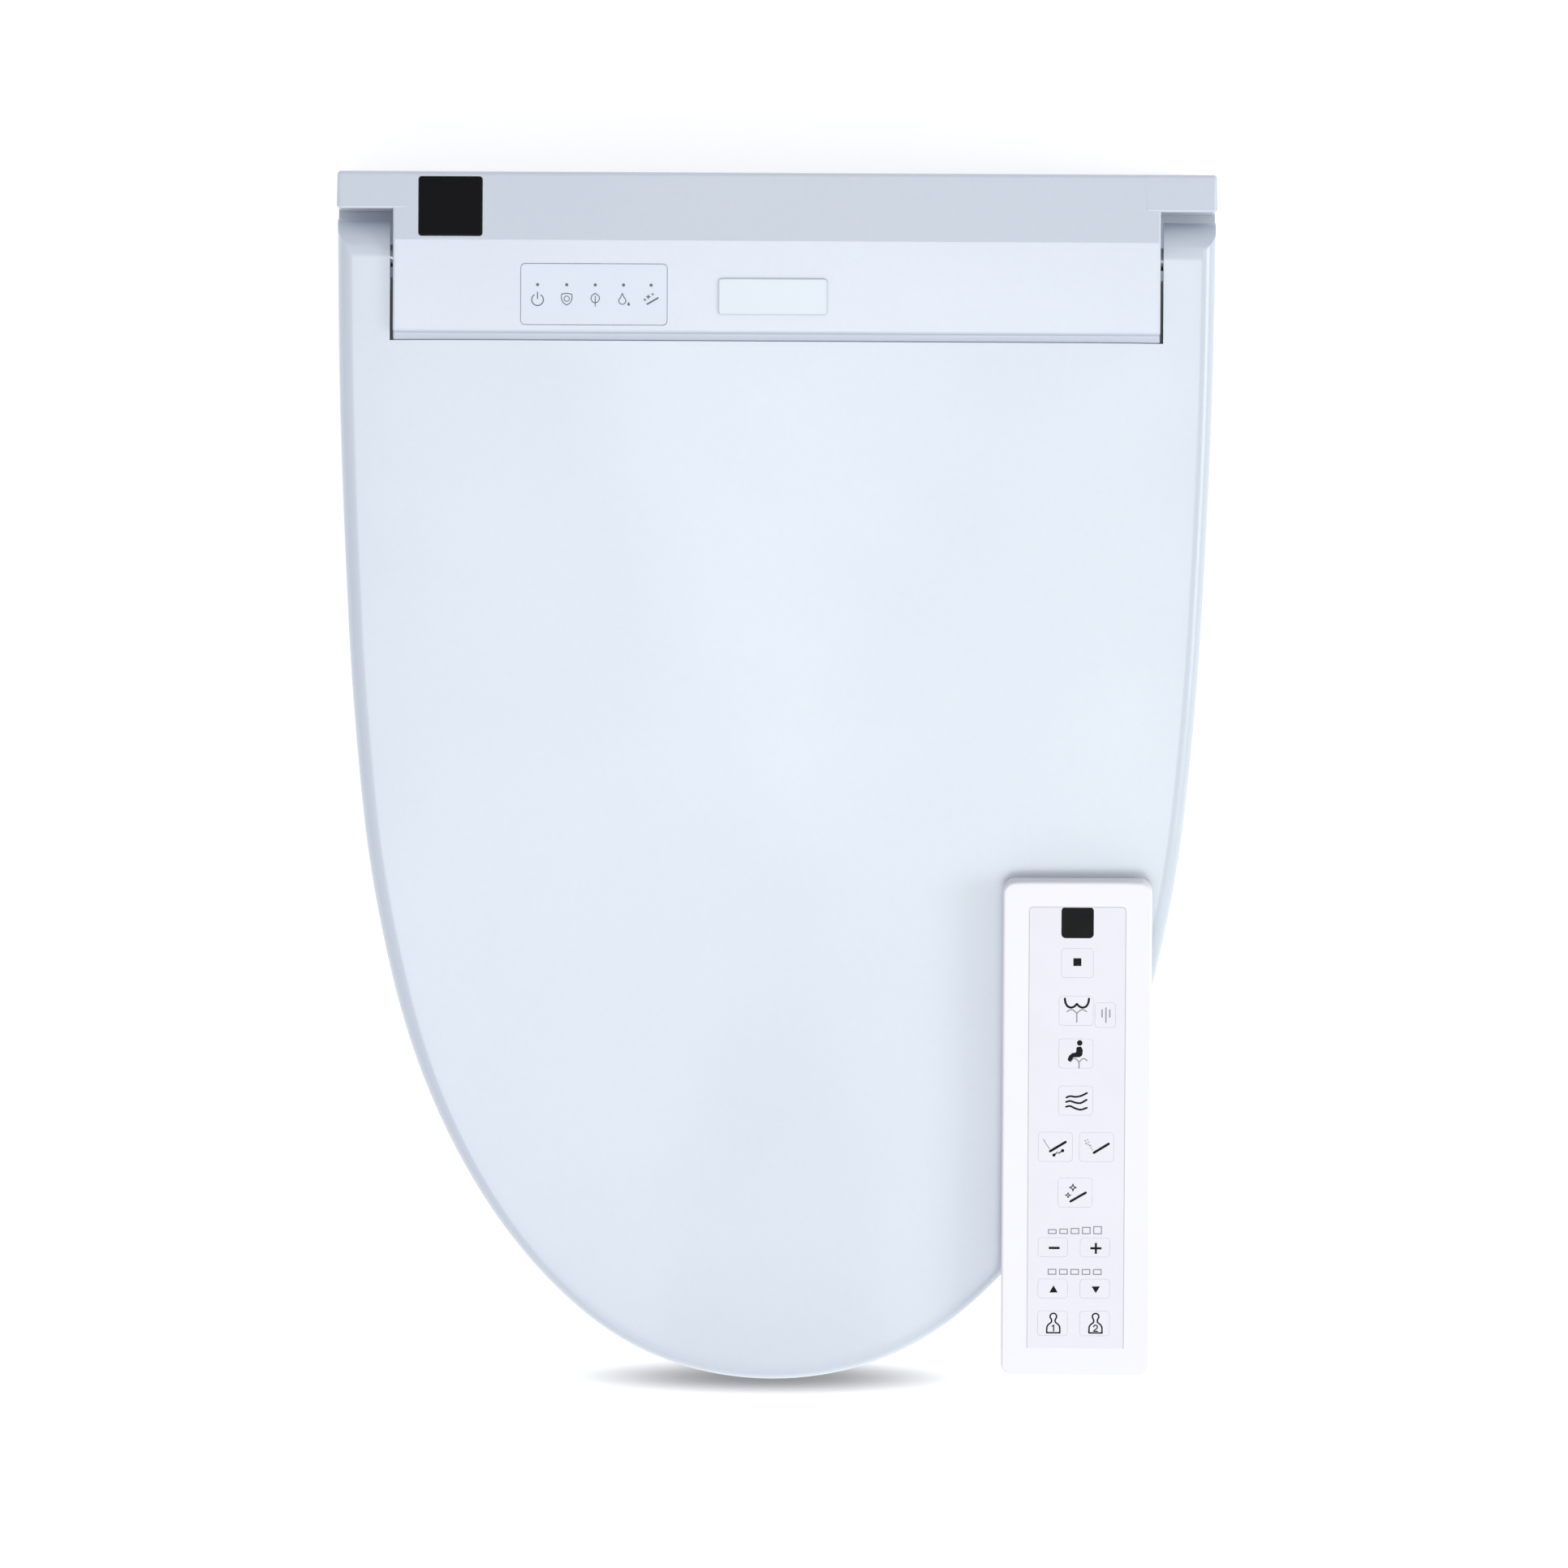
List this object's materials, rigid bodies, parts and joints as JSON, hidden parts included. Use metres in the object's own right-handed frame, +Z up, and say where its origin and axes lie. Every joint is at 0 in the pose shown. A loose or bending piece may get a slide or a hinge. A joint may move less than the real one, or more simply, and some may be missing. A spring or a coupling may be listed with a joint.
{
  "type": "electric bidet seat",
  "caption": "Electric bidet seat: rear unit with wand and dryer inside, heated seat ring, hinged lid, and a hand remote lying on the lid.",
  "frame": {"origin": "on the bowl rim plane, midway between the two fixing points, on the underside of the mounting bracket", "axes": "+X to the right of a person facing the bowl from the front, +Y to the back of the unit, +Z up; the lid's front tip is towards -Y"},
  "size_m": [0.386, 0.53, 0.142],
  "materials": {
    "white_gloss": "gloss",
    "white_satin": "satin",
    "sensor_black": "gloss",
    "panel_white": "satin",
    "badge_silver": "satin",
    "inner_grey": "matte",
    "steel": "brushed",
    "rubber_grey": "matte",
    "board_green": "satin",
    "copper": "satin",
    "hose_clear": "satin",
    "damper_black": "matte",
    "wand_white": "gloss",
    "valve_blue": "matte",
    "remote_white": "satin",
    "key_white": "satin",
    "battery_skin": "gloss"
  },
  "bodies": {
    "unit": {"base_case": "white_satin", "top_cover": "white_gloss", "sensor_window": "sensor_black", "display_panel": "panel_white", "badge_plate": "badge_silver", "mounting_bracket": "inner_grey", "water_inlet": "inner_grey", "cord_gland": "rubber_grey", "nozzle_guide": "inner_grey", "wand_motor": "steel", "water_heater_tank": "copper", "inlet_valve": "valve_blue", "water_pump": "inner_grey", "supply_hose": "hose_clear", "control_board": "board_green", "blower_housing": "inner_grey", "dryer_duct": "inner_grey", "hinge_pin_left": "steel", "hinge_pin_right": "steel", "lid_damper": "damper_black", "seat_damper": "damper_black"},
    "seat": {"seat_top_shell": "white_gloss", "seat_bottom_plate": "white_satin", "seat_heater": "copper", "seat_bumper_front_left": "rubber_grey", "seat_bumper_front_right": "rubber_grey", "seat_bumper_rear_left": "rubber_grey", "seat_bumper_rear_right": "rubber_grey"},
    "lid": {"lid_shell": "white_gloss", "lid_bumper_left": "rubber_grey", "lid_bumper_right": "rubber_grey"},
    "remote": {"remote_front_case": "remote_white", "remote_back_case": "remote_white", "remote_ir_window": "sensor_black", "battery_1": "battery_skin", "battery_2": "battery_skin", "remote_board": "board_green"},
    "wand": {"wand": "wand_white", "wand_tip": "wand_white"},
    "wand_roller": {"drive_roller": "rubber_grey"},
    "fan": {"fan_impeller": "inner_grey"},
    "flap": {"dryer_flap": "white_gloss"},
    "cartridge": {"deodorizer_cartridge": "white_satin"},
    "release": {"release_button": "inner_grey"},
    "remote_door": {"battery_door": "remote_white"},
    "key_stop": {"key_stop": "key_white"},
    "key_rear": {"key_rear": "key_white"},
    "key_soft": {"key_soft": "key_white"},
    "key_front": {"key_front": "key_white"},
    "key_dryer": {"key_dryer": "key_white"},
    "key_oscillate": {"key_oscillate": "key_white"},
    "key_pulse": {"key_pulse": "key_white"},
    "key_wand_clean": {"key_wand_clean": "key_white"},
    "key_minus": {"key_minus": "key_white"},
    "key_plus": {"key_plus": "key_white"},
    "key_up": {"key_up": "key_white"},
    "key_down": {"key_down": "key_white"},
    "key_user_1": {"key_user_1": "key_white"},
    "key_user_2": {"key_user_2": "key_white"}
  },
  "joints": [
    {"name": "seat_hinge", "type": "hinge", "parent": "unit", "child": "seat", "pos_m": [0, 0.021, 0.121], "axis": [1, 0, 0], "range_deg": [-100, 0]},
    {"name": "lid_hinge", "type": "hinge", "parent": "seat", "child": "lid", "pos_m": [0, 0.021, 0.121], "axis": [-1, 0, 0], "range_deg": [0, 105]},
    {"name": "remote_lift", "type": "slide", "parent": "lid", "child": "remote", "axis": [0, -0.1532, 0.9882], "range_m": [0, 0.06]},
    {"name": "wand_slide", "type": "slide", "parent": "unit", "child": "wand", "axis": [0, -0.9659, -0.2588], "range_m": [0, 0.075]},
    {"name": "roller_spin", "type": "hinge", "parent": "unit", "child": "wand_roller", "pos_m": [-0.0077, -0.03653, 0.04165], "axis": [0, -0.2588, 0.9659], "range_deg": [0, 720]},
    {"name": "fan_spin", "type": "hinge", "parent": "unit", "child": "fan", "pos_m": [0.088, 0.02, 0.043], "axis": [0, 1, 0], "continuous": true},
    {"name": "flap_hinge", "type": "hinge", "parent": "unit", "child": "flap", "pos_m": [0.029, -0.0822, 0.0428], "axis": [-1, 0, 0], "range_deg": [0, 60]},
    {"name": "cartridge_slide", "type": "slide", "parent": "unit", "child": "cartridge", "axis": [1, 0, 0], "range_m": [0, 0.075]},
    {"name": "release_press", "type": "slide", "parent": "unit", "child": "release", "axis": [1, 0, 0], "range_m": [0, 0.004], "stiffness_N_per_m": 400},
    {"name": "battery_door_slide", "type": "slide", "parent": "remote", "child": "remote_door", "axis": [0, -0.9882, -0.1532], "range_m": [0, 0.03]},
    {"name": "key_stop_press", "type": "slide", "parent": "remote", "child": "key_stop", "axis": [0, 0.1532, -0.9882], "range_m": [0, 0.0006], "stiffness_N_per_m": 300},
    {"name": "key_rear_press", "type": "slide", "parent": "remote", "child": "key_rear", "axis": [0, 0.1532, -0.9882], "range_m": [0, 0.0006], "stiffness_N_per_m": 300},
    {"name": "key_soft_press", "type": "slide", "parent": "remote", "child": "key_soft", "axis": [0, 0.1532, -0.9882], "range_m": [0, 0.0006], "stiffness_N_per_m": 300},
    {"name": "key_front_press", "type": "slide", "parent": "remote", "child": "key_front", "axis": [0, 0.1532, -0.9882], "range_m": [0, 0.0006], "stiffness_N_per_m": 300},
    {"name": "key_dryer_press", "type": "slide", "parent": "remote", "child": "key_dryer", "axis": [0, 0.1532, -0.9882], "range_m": [0, 0.0006], "stiffness_N_per_m": 300},
    {"name": "key_oscillate_press", "type": "slide", "parent": "remote", "child": "key_oscillate", "axis": [0, 0.1532, -0.9882], "range_m": [0, 0.0006], "stiffness_N_per_m": 300},
    {"name": "key_pulse_press", "type": "slide", "parent": "remote", "child": "key_pulse", "axis": [0, 0.1532, -0.9882], "range_m": [0, 0.0006], "stiffness_N_per_m": 300},
    {"name": "key_wand_clean_press", "type": "slide", "parent": "remote", "child": "key_wand_clean", "axis": [0, 0.1532, -0.9882], "range_m": [0, 0.0006], "stiffness_N_per_m": 300},
    {"name": "key_minus_press", "type": "slide", "parent": "remote", "child": "key_minus", "axis": [0, 0.1532, -0.9882], "range_m": [0, 0.0006], "stiffness_N_per_m": 300},
    {"name": "key_plus_press", "type": "slide", "parent": "remote", "child": "key_plus", "axis": [0, 0.1532, -0.9882], "range_m": [0, 0.0006], "stiffness_N_per_m": 300},
    {"name": "key_up_press", "type": "slide", "parent": "remote", "child": "key_up", "axis": [0, 0.1532, -0.9882], "range_m": [0, 0.0006], "stiffness_N_per_m": 300},
    {"name": "key_down_press", "type": "slide", "parent": "remote", "child": "key_down", "axis": [0, 0.1532, -0.9882], "range_m": [0, 0.0006], "stiffness_N_per_m": 300},
    {"name": "key_user_1_press", "type": "slide", "parent": "remote", "child": "key_user_1", "axis": [0, 0.1532, -0.9882], "range_m": [0, 0.0006], "stiffness_N_per_m": 300},
    {"name": "key_user_2_press", "type": "slide", "parent": "remote", "child": "key_user_2", "axis": [0, 0.1532, -0.9882], "range_m": [0, 0.0006], "stiffness_N_per_m": 300}
  ],
  "couplings": [
    {"joint": "roller_spin", "follows": "wand_slide", "rad_per_m": 166.67}
  ]
}
